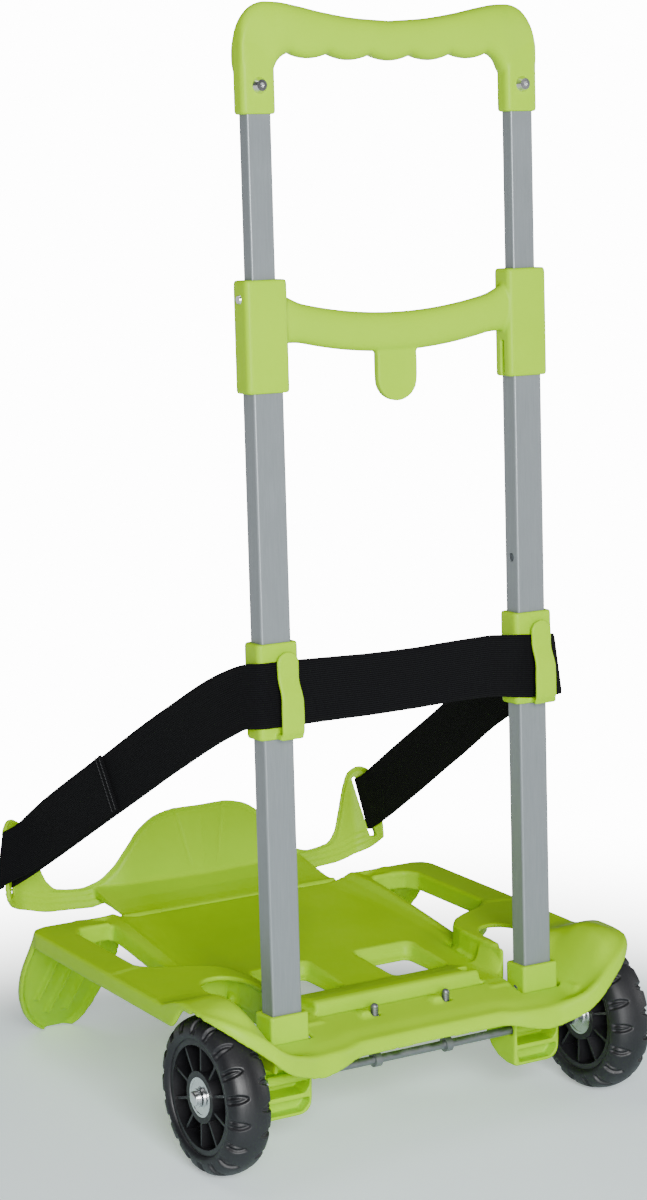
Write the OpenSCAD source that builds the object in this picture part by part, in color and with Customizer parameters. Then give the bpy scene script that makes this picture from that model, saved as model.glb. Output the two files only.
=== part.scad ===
// Folding bag trolley: moulded base on two rear wheels and two front feet,
// telescopic two-tube handle, front cradle flap and an elastic strap.
// Millimetres, +Z up, +Y towards the front (load side), +X right.
// Origin on the floor, in the middle of the footprint.

/* [Overall] */
// half of the spacing between the two tubes
tube_half = 100; // [96:1:104]
// how far the tubes lean forward, degrees
lean = 2.66; // [2:0.1:3.2]
// wheel radius
wheel_r = 52.3; // [51:0.1:52.5]
// wheel width
wheel_w = 30.2; // [28:0.1:30.4]

/* [Tubes] */
// outer tube size across the cart
outer_x = 22.2; // [21.5:0.1:22.4]
// outer tube size front to back
outer_y = 14.5; // [14:0.1:14.6]
// inner tube size across the cart
inner_x = 17.5; // [16.8:0.1:17.6]
// inner tube size front to back
inner_y = 10.5; // [10:0.1:10.6]
// tube wall
wall = 1.2; // [1:0.1:1.5]

/* [Soft parts] */
// strap width
strap_w = 43; // [38:1:44]
// strap thickness
strap_t = 1.6; // [1.2:0.1:2]

/* [Finish] */
// moulded plastic colour
green = [0.56, 0.78, 0.10];
// tube colour
grey = [0.62, 0.64, 0.66];
// rubber and webbing colour
black = [0.05, 0.05, 0.06];

/* [Hidden] */
yc = 131.85;             // axle line to the middle of the footprint
axz = wheel_r;           // axle height
wo = 166.1;              // wheel outer face
ax_r = 2.9;              // axle radius
$fn = 48;

// ---------- helpers ----------
module place() translate([0, -yc, 0]) children();
function ss(a, b, t) = let (u = min(1, max(0, (t - a) / (b - a)))) u * u * (3 - 2 * u);
function ty(z) = -2.64 + z * tan(lean);
// leaned frame of one tube: local z runs up the tube
module on_tube(s, z0 = 0) translate([s * tube_half, ty(z0), z0]) rotate([-lean, 0, 0]) children();
module rbox(x, y, h, r) linear_extrude(h) offset(r) square([x - 2 * r, y - 2 * r], center = true);
// closed rings with equal point counts joined into one solid
function mid(r) = let (n = len(r)) [for (k = [0:2]) [for (q = r) q[k]] * [for (q = r) 1] / n];
function area_v(r, c, i = 0) = i == len(r) ? [0, 0, 0] : cross(r[i] - c, r[(i + 1) % len(r)] - c) + area_v(r, c, i + 1);
module loft(R) {
  c0 = mid(R[0]);
  fwd = area_v(R[0], c0) * (mid(R[1]) - c0) > 0;
  Q = fwd ? R : [for (r = R) [for (i = [len(r) - 1:-1:0]) r[i]]];
  n = len(Q[0]); m = len(Q);
  polyhedron(
    points = [for (r = Q) for (q = r) q],
    faces = concat(
      [[for (i = [0:n - 1]) i]],
      [for (k = [0:m - 2]) for (i = [0:n - 1]) [k * n + i, (k + 1) * n + i, (k + 1) * n + (i + 1) % n]],
      [for (k = [0:m - 2]) for (i = [0:n - 1]) [k * n + i, (k + 1) * n + (i + 1) % n, k * n + (i + 1) % n]],
      [[for (i = [n - 1:-1:0]) (m - 1) * n + i]]),
    convexity = 8);
}
function vn(v) = v / norm(v);
// flat band along points P, with half width vectors W
function band(P, W, t) = [for (i = [0:len(P) - 1])
  let (a = P[max(0, i - 1)], b = P[min(len(P) - 1, i + 1)], d = vn(b - a), n = vn(cross(d, W[i])) * t / 2)
  [P[i] + W[i] + n, P[i] - W[i] + n, P[i] - W[i] - n, P[i] + W[i] - n]];

// ---------- base shape ----------
// lower edge of the rear skirt over half width a
function rim_y(a) = lookup(a, [[0, -28], [56, -28.5], [64, -30.5], [72, -33], [80, -34.5], [96, -36.5], [104, -38.3], [112, -40], [120, -41.6], [128, -42], [136, -40.2], [144, -37.6], [152, -34], [160, -27.6], [164.5, -22], [168.6, -12]]);
function rim_z(a) = lookup(a, [[0, 68], [56, 67.8], [64, 66.6], [72, 64.8], [80, 63], [88, 61.8], [96, 62.6], [104, 65], [112, 67.8], [120, 72], [128, 78], [136, 84.5], [144, 90.7], [152, 96.4], [160, 102.6], [168.6, 108.5]]);
function skirt(a) = lookup(a, [[0, 9.5], [60, 9.5], [90, 14.5], [130, 13.5], [152, 10], [162, 6.5], [168.6, 3.5]]);
function beam_z(y) = 86.3 + 0.226 * (y - 12);
function hill_z(y) = lookup(y, [[-42, 97], [-34, 106], [-20, 113.2], [-5, 116.6], [6, 116.4], [20, 112], [36, 106], [46, 104.3], [60, 103.9]]);
function edge_z(y) = lookup(y, [[-20, 111], [0, 112.4], [14, 112.6], [29, 109], [42, 104.45], [60, 103.9]]);
function rear_z(a, y) =
  let (low = y < 12 ? beam_z(y) : 86.3 + 16.5 * ss(12, 34, y) * ss(80, 92, a),
       h = hill_z(y) + (edge_z(y) - hill_z(y)) * ss(150, 168.6, a))
  low + (max(h, low) - low) * ss(112, 147, a);
// outer profile of the rear shell at x, from the skirt's edge forward
function prof(x, n, y1) = let (a = abs(x), yr = rim_y(a), zr = rim_z(a), sk = skirt(a),
  yk = yr + 3.2, zk0 = rear_z(a, yr + 9))
  concat([[x, yr, zr], [x, yr + 0.6, zr + sk * 0.5]],
    [for (i = [0:n]) let (u = i / n, y = yk + 1.5 + (y1 - yk - 1.5) * pow(u, 1.25), e = ss(0, 14, y - yr - 3))
      [x, y, (zr + sk) * (1 - e) + rear_z(a, y) * e]]);
module rear_shell() {
  xs = [-168.4, -165.5, -162, -157, -152, -147, -142, -137, -132, -127, -122, -117, -112, -106, -100, -94, -88, -80, -72, -64, -57, -40, -14,
        14, 40, 57, 64, 72, 80, 88, 94, 100, 106, 112, 117, 122, 127, 132, 137, 142, 147, 152, 157, 162, 165.5, 168.4];
  loft([for (x = xs) let (y1 = 48, P = prof(x, 13, y1))
    concat(P, [for (i = [len(P) - 1:-1:0]) let (q = P[i]) [q[0], q[1] + (i < 3 ? 2.6 : 0), q[2] - (i < 2 ? 0 : 3)]])]);
}
// plan outline of the flat frame in front of the rear shell
module frame_plan() {
  difference() {
    offset(8) offset(-8) union() {
      translate([-168.6, 38]) square([337.2, 196.8]);
    }
    for (s = [-1, 1]) scale([s, 1]) {
      offset(7) offset(-7) polygon([[143.6, 205], [143.6, 128], [133, 110], [108, 104], [94, 92], [92, 76], [90, 20], [84, 20], [92, 72], [97, 120], [99, 175], [103, 218], [122, 222], [138, 222]]);
    }
    translate([-89, 0]) square([178, 240]);
  }
}
module frame_top() {
  difference() {
    translate([0, 0, 91.5]) linear_extrude(13.1) frame_plan();
    // hollow underside
    translate([0, 0, 90]) linear_extrude(11.6) offset(-3) frame_plan();
  }
}
function deck_z(y) = 85.5 + (y - 15) * 0.0636;
module deck() {
  ys = [13.2, 40, 70, 100, 140, 180, 215, 236];
  hw = function(y) lookup(y, [[13, 78], [50, 84], [110, 86.5], [180, 85.5], [236, 79]]);
  difference() {
    union() {
      // main plate with rounded shoulders and hanging side walls
      loft([for (y = ys) let (z = deck_z(y), w = hw(y)) [
        [w, y, z], [w + 5, y, z - 3.5], [w + 9, y, z - 15 + 6 * ss(150, 236, y)], [w + 6.2, y, z - 15 + 6 * ss(150, 236, y)], [w + 2.2, y, z - 5.6], [w - 1.2, y, z - 3.2],
        [-w + 1.2, y, z - 3.2], [-w - 2.2, y, z - 5.6], [-w - 6.2, y, z - 15 + 6 * ss(150, 236, y)], [-w - 9, y, z - 15 + 6 * ss(150, 236, y)], [-w - 5, y, z - 3.5], [-w, y, z]]]);
      // wells around the two windows
      for (s = [-1, 1]) translate([s * 42.5, 77, 76]) linear_extrude(12) offset(5) square([44, 51], center = true);
      // rear bar above the slot
      translate([-66, 14, 79]) cube([132, 12, 6]);
      // front cross bridge to the frame
      translate([-100, 221.3, 93.7]) cube([200, 11.6, 4.2]);
    }
    for (s = [-1, 1]) {
      translate([s * 42.5, 77, 60]) linear_extrude(60) offset(4) square([40, 47], center = true);
      translate([s * 42.5, 77, 87]) linear_extrude(20, scale = 1.2) offset(5) square([42, 49], center = true);
    }
    // slot to the rear beam
    translate([-67, 11.9, 60]) cube([134, 2, 60]);
  }
}
// one front foot: outer side tapers in, face leans forward going down
function foot_y(z) = 230 + 86 * pow(1 - z / 104, 1.15);
function foot_xo(z) = lookup(z, [[0, 122], [3, 127], [13, 139], [28, 151], [52, 163], [75, 167.9], [104, 168.2]]);
function foot_xi(z) = lookup(z, [[0, 99], [3, 96], [12, 92], [50, 91], [80, 94], [96, 103], [104, 118]]);
module foot(s) {
  zs = [0, 3, 8, 13, 20, 28, 40, 52, 64, 75, 88, 97, 103.1];
  t = 3.4;
  loft([for (z = zs) let (y = foot_y(z), a = foot_xi(z), b = foot_xo(z)) (s > 0
    ? [[a, y - 9, z], [a + 3, y - 9, z], [a + 5, y - t, z], [b - 5, y - t, z], [b - 3, y - 9, z], [b, y - 9, z], [b, y - 3, z], [b - 4, y, z], [a + 4, y, z], [a, y - 3, z]]
    : [[-a, y - 9, z], [-a, y - 3, z], [-a - 4, y, z], [-b + 4, y, z], [-b, y - 3, z], [-b, y - 9, z], [-b + 3, y - 9, z], [-b + 5, y - t, z], [-a - 5, y - t, z], [-a - 3, y - 9, z]])]);
  // stiffening ribs on the back
  for (k = [0:2]) let (x = 110 + k * 15)
    loft([for (z = [k == 2 ? 22 : 8, 40, 70, 99]) let (y = foot_y(z)) (s > 0
      ? [[x, y - 11, z], [x + 2, y - 11, z], [x + 2, y - 1, z], [x, y - 1, z]]
      : [[-x - 2, y - 11, z], [-x, y - 11, z], [-x, y - 1, z], [-x - 2, y - 1, z]])]);
}
// plan of the opening each tube foot stands in
module mast_hole() offset(3) offset(-3) union() {
  translate([tube_half - 16.3, -10.2]) square([32.6, 30]);
  hull() { translate([102.5, 20]) circle(16, $fn = 32); translate([110, 52]) circle(19, $fn = 32); }
}
module chassis() color(green) place() resize([0, 0, 0]) difference() {
  union() {
    rear_shell();
    frame_top();
    deck();
    foot(1);
    foot(-1);
    // side strips tying the deck to the rear beam
    for (s = [-1, 1]) translate([s * 74 - 7, 4, 78.3]) cube([14, 14.3, 5.1]);
    // collars that carry the tube feet, below the shell
    for (s = [-1, 1]) translate([s * 100, 0, 0]) {
      for (q = [-1, 1]) translate([q * 19.6 - 1.6, -24, 61]) cube([3.2, 60, q == s ? 23.2 : 16.2]);
      // lug that carries the outer end of the cradle's hinge pin
      translate([-s * 4.7 - 3.8, 228, 90.9]) cube([7.6, 16.6, 10.2]);
    }
    // axle saddles behind the slot
    for (x = [-40, -17, 17, 40]) translate([x - 1.5, -12, 56]) cube([3, 22, 25]);
  }
  for (s = [-1, 1]) scale([s, 1, 1]) translate([0, 0, 55]) linear_extrude(70) mast_hole();
  // axle passage
  translate([-200, 0, axz]) rotate([0, 90, 0]) cylinder(r = ax_r + 0.35, h = 400);
  // pin and staple holes
  for (s = [-1, 1]) translate([s * 28.5, 1.7, 50]) cylinder(r = 3.1, h = 60);
  // hinge pin seats at the front edge
  translate([-91.4, 240, 96.4]) rotate([0, 90, 0]) cylinder(r = 6.4, h = 182.8);
  translate([-101, 240, 96.4]) rotate([0, 90, 0]) cylinder(r = 2.002, h = 202);
}

// ---------- cradle ----------
function cr_top(a) = lookup(a, [[0, 160], [20, 160], [36, 157], [50, 149], [62, 136], [74, 122], [86, 113], [100, 109.5], [116, 111], [124, 118], [130, 134], [136, 152], [142, 163], [150, 167], [156, 164], [160, 156]]);
function cr_bot(a) = lookup(a, [[0, 100], [80, 97], [92, 94.5], [120, 95], [140, 99], [152, 104], [160, 113]]);
function cr_y(a, z) = lookup(a, [[0, 276], [60, 280], [90, 287], [120, 291.5], [140, 291.5], [152, 286], [160, 277]]) + (z - 100) * 0.17;
module cradle_shell() {
  xs = [-160, -158, -154, -148, -142, -136, -130, -124, -116, -104, -92, -84, -74, -62, -50, -36, -20, 0, 20, 36, 50, 62, 74, 84, 92, 104, 116, 124, 130, 136, 142, 148, 154, 158, 160];
  n = 6;
  loft([for (x = xs) let (a = abs(x), b = cr_bot(a), t = cr_top(a))
    concat([for (i = [0:n]) let (z = b + (t - b) * i / n) [x, cr_y(a, z), z]],
           [for (i = [n:-1:0]) let (z = b + (t - b) * i / n) [x, cr_y(a, z) + 3.4, z]])]);
}
module cradle() color(green) place() resize([0, 0, 0]) difference() {
  union() {
    cradle_shell();
    // stiffening bands along the bow
    for (k = [0:2]) loft([for (x = [-156, -148, -136, -120, -104, -92, -80, -40, 0, 40, 80, 92, 104, 120, 136, 148, 156]) let (a = abs(x), z = cr_bot(a) + 2.5 + k * 4.6)
      [[x, cr_y(a, z) - 1.4, z], [x, cr_y(a, z) - 1.4, z + 1.6], [x, cr_y(a, z) + 2, z + 1.6], [x, cr_y(a, z) + 2, z]]]);
    // root plate back to the hinge
    loft([for (x = [-88, -60, 0, 60, 88]) let (a = abs(x)) [[x, 238, 98.2], [x, 238, 101.6], [x, 262, 103.4], [x, cr_y(a, 106) + 1.5, 107], [x, cr_y(a, 100) + 1.5, 101.5], [x, 262, 99.6]]]);
    // hinge knuckles
    for (s = [-1, 1]) translate([s > 0 ? 60 : -90, 240, 96.4]) rotate([0, 90, 0]) cylinder(r = 4.6, h = 30);
    translate([-88, 238, 97]) cube([176, 4, 3]);
  }
  for (s = [-1, 1]) {
    translate([s > 0 ? 56 : -91, 240, 96.4]) rotate([0, 90, 0]) cylinder(r = 2.06, h = 35);
    // strap slots in the end petals
    translate([s * 150.5, 290, 135]) rotate([0, -s * 11, 0]) cube([3.6, 40, 46], center = true);
  }
}
module cradle_pin(s) color(grey) place() translate([s > 0 ? 57 : -100, 240, 96.4]) rotate([0, 90, 0]) cylinder(r = 2, h = 43);

// ---------- running gear ----------
// tube foot: socket for the tube above, axle box below
module tube_foot(s) color(green) place() difference() {
  union() {
    on_tube(s, 66) translate([0, 0, -4]) rbox(28.6, 21.4, 35.8, 1.5);
    translate([s * tube_half, 0, 0]) hull() {
      translate([-13.5, -22, 34]) cube([27, 6, 34]);
      translate([-13.5, -10, 31]) cube([27, 8, 37]);
      translate([-13.5, 0, axz]) rotate([0, 90, 0]) cylinder(r = 21, h = 27, $fn = 32);
      translate([-13.5, 30, 66]) cube([27, 6, 6]);
    }
  }
  // tube socket
  on_tube(s, 66) translate([0, 0, 0.2]) rbox(outer_x + 0.04, outer_y + 0.04, 40, 1);
  // open box at the back, with a ledge left across it
  translate([s * tube_half - 11, -30, 43]) cube([22, 24, 21.5]);
  translate([s * tube_half - 11, -30, 34.5]) cube([22, 18, 6.3]);
  translate([-200, 0, axz]) rotate([0, 90, 0]) cylinder(r = ax_r + 0.002, h = 400);
  // cross rivet
  on_tube(s, 80) rotate([0, 90, 0]) cylinder(r = 2.01, h = 60, center = true);
}
module foot_rivet(s) color(grey) place() on_tube(s, 80) {
  rotate([0, 90, 0]) cylinder(r = 2, h = 29, center = true);
  for (q = [-1, 1]) translate([q * 14.9, 0, 0]) rotate([0, q * 90, 0]) cylinder(r1 = 3.4, r2 = 2, h = 1.2, center = true);
}
module axle() color(grey) place() translate([-wo - 1.5, 0, axz]) rotate([0, 90, 0]) cylinder(r = ax_r, h = 2 * wo + 3);
// wire staple that holds the axle up in the beam
module staple(s) color(grey) place() translate([s * 28.5, 1.7, 0]) {
  translate([0, 0, 56.2]) cylinder(r = 2.2, h = 31);
  for (k = [0:4]) translate([0, 0, 82.4 + k * 1.4]) cylinder(r = 2.7, h = 0.8);
  translate([0, 0, 88]) sphere(r = 2.7);
  translate([0, -1.7, axz]) rotate([0, 90, 0]) difference() {
    cylinder(r = 5, h = 5, center = true);
    cylinder(r = ax_r + 0.002, h = 6, center = true);
  }
}
module wheel_at(s) place() translate([s * (wo - wheel_w / 2), 0, axz]) rotate([0, s * 90, 0]) children();
module rim(s) color(black) wheel_at(s) difference() {
  union() {
    difference() { cylinder(r = 37.6, h = 25, center = true); cylinder(r = 34, h = 26, center = true); }
    cylinder(r = 17, h = 24, center = true);
    translate([0, 0, 1]) cylinder(r = 35, h = 3, center = true);
    for (i = [0:9]) rotate(i * 36) translate([15, -0.9, -11]) cube([20.5, 1.8, 22]);
  }
  cylinder(r = 13.0, h = 15, center = true);
  for (q = [-1, 1]) translate([0, 0, q * 9.25]) cylinder(r = 13.02, h = 5.6, center = true);
}
module tyre(s) color(black) wheel_at(s) difference() {
  rotate_extrude() polygon([[37.6, -13], [42.4, -wheel_w / 2], [47.6, -13.4], [50.6, -9.6], [wheel_r - 0.3, -4.6], [wheel_r, 0], [wheel_r - 0.3, 4.6], [50.6, 9.6], [47.6, 13.4], [42.4, wheel_w / 2], [37.6, 13]]);
  for (q = [-1, 1]) for (i = [0:17]) rotate(i * 20 + q * 5) translate([51.2, 0, q * 13.5]) rotate([90, 0, 0]) scale([0.7, 1, 1]) cylinder(r = 4.6, h = 2.2, center = true, $fn = 12);
}
module bearing(s, q) color(grey) wheel_at(s) translate([0, 0, q * 9.25]) difference() {
  union() { cylinder(r = 12.98, h = 5.5, center = true); translate([0, 0, q * 2.9]) cylinder(r = 6.5, h = 0.8, center = true); }
  cylinder(r = ax_r + 0.05, h = 8, center = true);
  translate([0, 0, q * 2.75]) difference() { cylinder(r = 11.4, h = 0.8, center = true); cylinder(r = 7.2, h = 1, center = true); }
}
module spacer(s) color(grey) place() translate([s * 124.9, 0, axz]) rotate([0, 90, 0]) difference() {
  cylinder(r = 5, h = 20.9, center = true);
  cylinder(r = ax_r + 0.002, h = 30, center = true);
}
module axle_nut(s) color(grey) place() translate([s * (wo - 1.4), 0, axz]) rotate([0, s * 90, 0]) difference() {
  union() { cylinder(r = 6.2, h = 1.2); translate([0, 0, 1.2]) cylinder(r = 4.8, h = 1.2); translate([0, 0, 2.4]) scale([1, 1, 0.35]) sphere(r = 4.8); }
  translate([0, 0, -1]) cylinder(r = ax_r + 0.002, h = 4);
}

// ---------- mast ----------
module outer_tube(s) color(grey) place() on_tube(s, 66) difference() {
  translate([0, 0, 0.3]) rbox(outer_x, outer_y, 497, 1.6);
  translate([0, 0, -1]) rbox(outer_x - 2 * wall, outer_y - 2 * wall, 500, 0.8);
  // lock button window on the inner side and the rivet holes
  translate([-s * 8, 0, 312]) rotate([0, -s * 90, 0]) cylinder(r = 3, h = 10);
  translate([0, 0, 14.01]) rotate([0, 90, 0]) cylinder(r = 2.01, h = 60, center = true);
  translate([0, 0, (clz - 66) / cos(lean) + 0.6]) rotate([90, 0, 0]) cylinder(r = 1.61, h = 20);
}
// crossbar moulding that caps the outer tubes
function sag(x) = 12 * (1 - pow(abs(x) / 86, 2));
module yoke() color(green) place() difference() {
  union() {
    for (s = [-1, 1]) on_tube(s, 499) rbox(30.8, 18.5, 71, 3);
    translate([0, ty(536), 0]) loft([for (i = [-14:14]) let (x = i * 6.3, z = 545 - sag(x))
      [for (k = [0:15]) let (t = k * 22.5, c = cos(t), n = sin(t))
        [x, 7.2 * sign(c) * pow(abs(c), 0.8), z + (13 + 4 * ss(60, 88, abs(x))) * sign(n) * pow(abs(n), 0.8)]]]);
    translate([0, ty(515) - 3, 0]) hull() {
      translate([-16.7, 0, 516]) cube([33.4, 6, 14]);
      translate([0, 6, 505]) rotate([90, 0, 0]) cylinder(r = 16.7, h = 6);
    }
  }
  for (s = [-1, 1]) {
    on_tube(s, 499) translate([0, 0, -1]) rbox(outer_x + 0.04, outer_y + 0.04, 65.5, 1.4);
    on_tube(s, 499) translate([0, 0, 60]) rbox(inner_x + 1, inner_y + 1, 20, 1.5);
    // drain slot on the inner side
    on_tube(s, 499) translate([-s * 14, 0, -1]) translate([-2.6, -1.6, 0]) cube([5.2, 3.2, 25]);
    on_tube(s, 560) translate([s * 10, 0, -2]) rotate([0, s * 90, 0]) cylinder(r = 1.61, h = 20);
  }
}
module yoke_screw(s) color(grey) place() on_tube(s, 560) translate([0, 0, -2]) rotate([0, s * 90, 0]) {
  translate([0, 0, 11.2]) cylinder(r = 1.6, h = 4.2);
  translate([0, 0, 15.4]) cylinder(r1 = 3, r2 = 2.4, h = 1.1);
}
module inner_tube(s) color(grey) place() on_tube(s, 330) difference() {
  rbox(inner_x, inner_y, 372, 1.2);
  translate([0, 0, -1]) rbox(inner_x - 2 * wall, inner_y - 2 * wall, 380, 0.6);
  translate([0, 0, (689.2 - 330) / cos(lean)]) rotate([90, 0, 0]) cylinder(r = 2.41, h = 60, center = true);
}
// guide block at the lower end of the sliding tube
module tube_slider(s) color(black) place() on_tube(s, 330) {
  translate([0, 0, -14]) rbox(outer_x - 2 * wall - 0.7, outer_y - 2 * wall - 0.7, 13.9, 0.8);
  translate([0, 0, -0.2]) rbox(inner_x - 2 * wall - 0.02, inner_y - 2 * wall - 0.02, 14, 0.6);
}
// carrying grip: waved bar with two legs
function grip_top(x) = let (a = abs(x)) lookup(a, [[0, 729.5], [25, 731], [50, 734.5], [70, 738.5], [84, 740.6], [92, 740.8], [100, 738.6], [106, 733.6], [110.5, 725.5], [112.3, 715]]);
function grip_bot(x) = let (a = abs(x)) 707.5 + 2.2 * pow(a / 76, 2) - 2.6 * abs(cos(x * 180 / 31)) ;
module grip() color(green) place() difference() {
  union() {
    for (s = [-1, 1]) {
      on_tube(s, 671.7) rbox(24.6, 14, 42, 3.4);
    }
    translate([0, ty(705) + 0.4, 0]) loft([for (i = [-40:40]) let (x = i * 2.8, a = abs(x), t = grip_top(x), b = a < 88 ? grip_bot(x) : 706, h = (t - b) / 2, m = (t + b) / 2, w = 9.4 - 2.2 * ss(80, 112, a))
      [for (k = [0:19]) let (q = k * 18, c = cos(q), n = sin(q))
        [x, (t - 705) * 0.02 + w * sign(c) * pow(abs(c), 0.75), m + h * sign(n) * pow(abs(n), 0.7)]]]);
  }
  for (s = [-1, 1]) {
    on_tube(s, 671.7) translate([0, 0, -1]) rbox(inner_x + 0.04, inner_y + 0.04, 31.4, 1);
    on_tube(s, 689.2) rotate([90, 0, 0]) cylinder(r = 2.41, h = 60, center = true);
  }
}
module grip_bolt(s) color(grey) place() on_tube(s, 689.2) rotate([90, 0, 0]) {
  difference() {
    union() { translate([0, 0, -7.2]) cylinder(r = 2.4, h = 14.3); translate([0, 0, 7.05]) cylinder(r1 = 5.2, r2 = 3.6, h = 3); }
    translate([0, 0, 8]) cylinder(r = 1.7, h = 5, $fn = 6);
  }
  translate([0, 0, -8.6]) cylinder(r = 4.2, h = 1.5);
}

// ---------- strap ----------
clz = 310;
module strap_clip(s) color(green) place() on_tube(s, clz) difference() {
  union() {
    translate([0, 0, -31]) rbox(outer_x + 5, outer_y + 5, 62, 2);
    // hook arm behind the strap, joined at its foot
    translate([3.6, 0, 0]) loft([for (z = [-31, -26, -20, -8, 0, 6, 14, 20, 25, 28.5, 30.5]) let (w = z > 27 ? 8.2 * sqrt(max(0.1, 1 - pow((z - 22.5) / 8.4, 2))) : 8.6 - 0.9 * ss(-14, 2, z) + 0.5 * ss(8, 20, z), y = -15.2 - 1.2 * sin(z * 4))
      [[-w, y - 1.6, z], [w, y - 1.6, z], [w, y + 1.6, z], [-w, y + 1.6, z]]]);
    translate([3.6 - 8.5, -15.5, -31]) cube([17, 8, 3.6]);
  }
  translate([0, 0, -40]) rbox(outer_x + 0.04, outer_y + 0.04, 80, 1.6);
  translate([0, 0, 0.6]) rotate([90, 0, 0]) cylinder(r = 1.61, h = 12.4);
}
module clip_rivet(s) color(grey) place() on_tube(s, clz) translate([0, 0, 0.6]) rotate([90, 0, 0]) {
  translate([0, 0, 6.1]) cylinder(r = 1.6, h = 4);
}
cy = ty(clz) - outer_y / 2 - 2.5 - 1.3;
module strap_centre() color(black) place() {
  xs = [-96, -80, -60, -30, 0, 30, 60, 80, 96];
  loft(band([for (x = xs) [x, cy - 0.2, clz + 2 + x * 0.012 - 5 * (1 - pow(x / 96, 2))]], [for (x = xs) strap_w / 2 * (1 - 0.06 * (1 - pow(x / 96, 2))) * [0, sin(lean), cos(lean)]], strap_t));
}
function side_path(s) = [[s * 97.2, cy - 0.2, clz + 2], [s * 112, cy - 0.2, clz + 2], [s * 116.4, cy + 2, clz + 1.2], [s * 119, cy + 9, clz - 0.6], [s * 122, cy + 26, clz - 9], [s * 129, 90, 266], [s * 138, 160, 222], [s * 146, 230, 178], [s * 149.6, 270, 152], [s * 150.3, 285.5, 142.5]];
function side_w(s, i) = let (u = i / 9, q = [0, s * 0.1, 0.995], e = [0, 0.16, 0.985]) strap_w / 2 * 0.98 * vn(i < 4 ? [0, sin(lean), cos(lean)] : [s * (0.02 - 0.2 * ss(6, 9, i)), 0.62 * ss(3, 6, i) - 0.46 * ss(6, 9, i), 0.9]);
module strap_side(s) loft(band(side_path(s), [for (i = [0:9]) side_w(s, i)], strap_t));
module strap_left() color(black) place() strap_side(-1);
module strap_right() color(black) place() strap_side(1);
// sewn hook-and-loop end folded back on the left run
module strap_end_pad() color(black) place() {
  W = [for (k = [0:2]) side_w(-1, 6 + k) * 0.97];
  P = side_path(-1);
  loft(band([for (k = [0:2]) P[6 + k] + [-2.3, 0.5, 0.5]], W, 1.5));
}

chassis();
cradle();
cradle_pin(-1);  // cradle_pin_left
cradle_pin(1);  // cradle_pin_right
tube_foot(-1);  // tube_foot_left
tube_foot(1);  // tube_foot_right
axle();
axle_nut(-1);  // axle_nut_left
axle_nut(1);  // axle_nut_right
staple(-1);  // staple_left
staple(1);  // staple_right
rim(-1);  // rim_left
rim(1);  // rim_right
tyre(-1);  // tyre_left
tyre(1);  // tyre_right
bearing(-1, 1);  // bearing_left_outer
bearing(-1, -1);  // bearing_left_inner
bearing(1, 1);  // bearing_right_outer
bearing(1, -1);  // bearing_right_inner
spacer(-1);  // spacer_left
spacer(1);  // spacer_right
outer_tube(-1);  // outer_tube_left
outer_tube(1);  // outer_tube_right
foot_rivet(-1);  // foot_rivet_left
foot_rivet(1);  // foot_rivet_right
yoke();
yoke_screw(-1);  // yoke_screw_left
yoke_screw(1);  // yoke_screw_right
inner_tube(-1);  // inner_tube_left
inner_tube(1);  // inner_tube_right
tube_slider(-1);  // tube_slider_left
tube_slider(1);  // tube_slider_right
grip();
grip_bolt(-1);  // grip_bolt_left
grip_bolt(1);  // grip_bolt_right
strap_clip(-1);  // strap_clip_left
strap_clip(1);  // strap_clip_right
clip_rivet(-1);  // clip_rivet_left
clip_rivet(1);  // clip_rivet_right
strap_centre();
strap_left();
strap_right();
strap_end_pad();
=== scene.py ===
import math

import bmesh
import bpy
import numpy as np
from mathutils import Matrix, Vector


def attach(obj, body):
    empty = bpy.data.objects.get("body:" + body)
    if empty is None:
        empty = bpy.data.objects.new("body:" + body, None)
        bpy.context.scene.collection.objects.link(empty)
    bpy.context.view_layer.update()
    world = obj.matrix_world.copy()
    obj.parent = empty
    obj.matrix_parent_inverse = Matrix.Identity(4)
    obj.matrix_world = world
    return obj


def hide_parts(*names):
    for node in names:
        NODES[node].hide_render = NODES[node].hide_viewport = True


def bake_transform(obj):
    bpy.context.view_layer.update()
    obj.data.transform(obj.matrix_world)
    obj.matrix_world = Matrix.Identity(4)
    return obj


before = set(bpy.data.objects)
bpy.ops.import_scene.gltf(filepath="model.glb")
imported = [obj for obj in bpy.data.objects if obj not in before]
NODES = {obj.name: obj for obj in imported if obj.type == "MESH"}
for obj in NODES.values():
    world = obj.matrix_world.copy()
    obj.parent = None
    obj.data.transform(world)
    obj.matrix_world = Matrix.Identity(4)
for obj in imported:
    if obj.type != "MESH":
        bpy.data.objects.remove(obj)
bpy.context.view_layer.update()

YC = 131.85
LEAN = math.radians(2.66)
TH = 100.0          # tube half spacing
AXZ = 52.3
WO, WW, WR = 166.1, 30.2, 52.3
CLZ = 310
SW = 21.5


# ---------------------------------------------------------------- helpers
def ty(z):
    return -2.64 + z * math.tan(LEAN)


CY = ty(CLZ) - 14.5 / 2 - 2.5 - 1.3


def ss(a, b, t):
    u = np.clip((np.asarray(t, float) - a) / (b - a), 0, 1)
    return u * u * (3 - 2 * u)


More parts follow.
